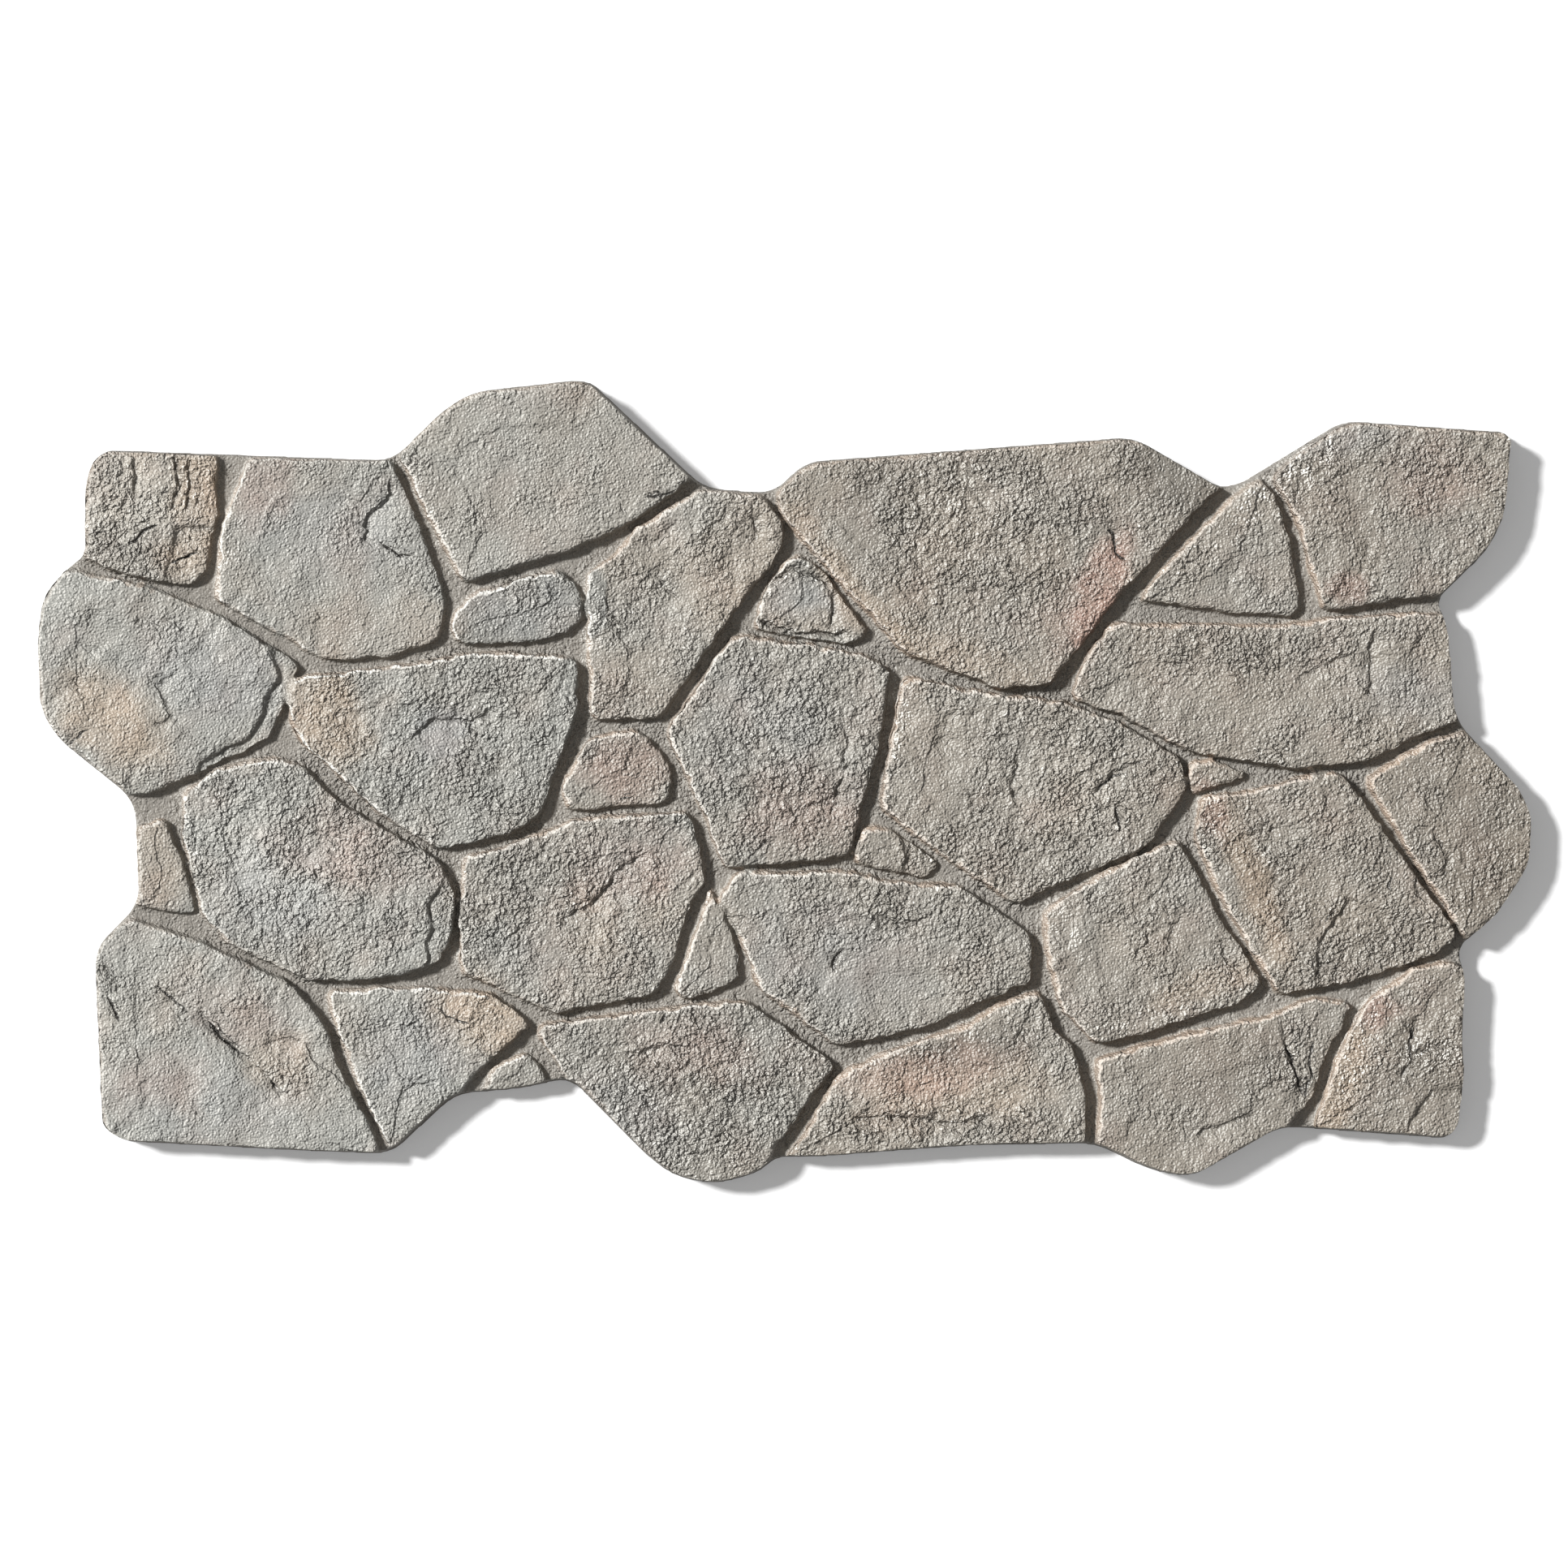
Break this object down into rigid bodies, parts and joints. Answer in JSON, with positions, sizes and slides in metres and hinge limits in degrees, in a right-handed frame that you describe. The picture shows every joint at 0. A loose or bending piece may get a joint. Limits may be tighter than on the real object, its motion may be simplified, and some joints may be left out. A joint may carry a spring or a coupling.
{
  "type": "faux stone wall panel",
  "caption": "Moulded wall cladding board with the relief of random rubble stones in recessed joints, a flat back and an edge that follows the stones so that neighbouring boards interlock.",
  "frame": {"origin": "centre of the bounding box, on the flat back face", "axes": "+X along the panel, +Y up the wall, +Z out of the wall through the stone face; the panel lies on its back"},
  "size_m": [1.0508, 0.5652, 0.032],
  "materials": {
    "stone_face": "matte"
  },
  "bodies": {
    "root": {"wall_panel": "stone_face"}
  },
  "joints": []
}
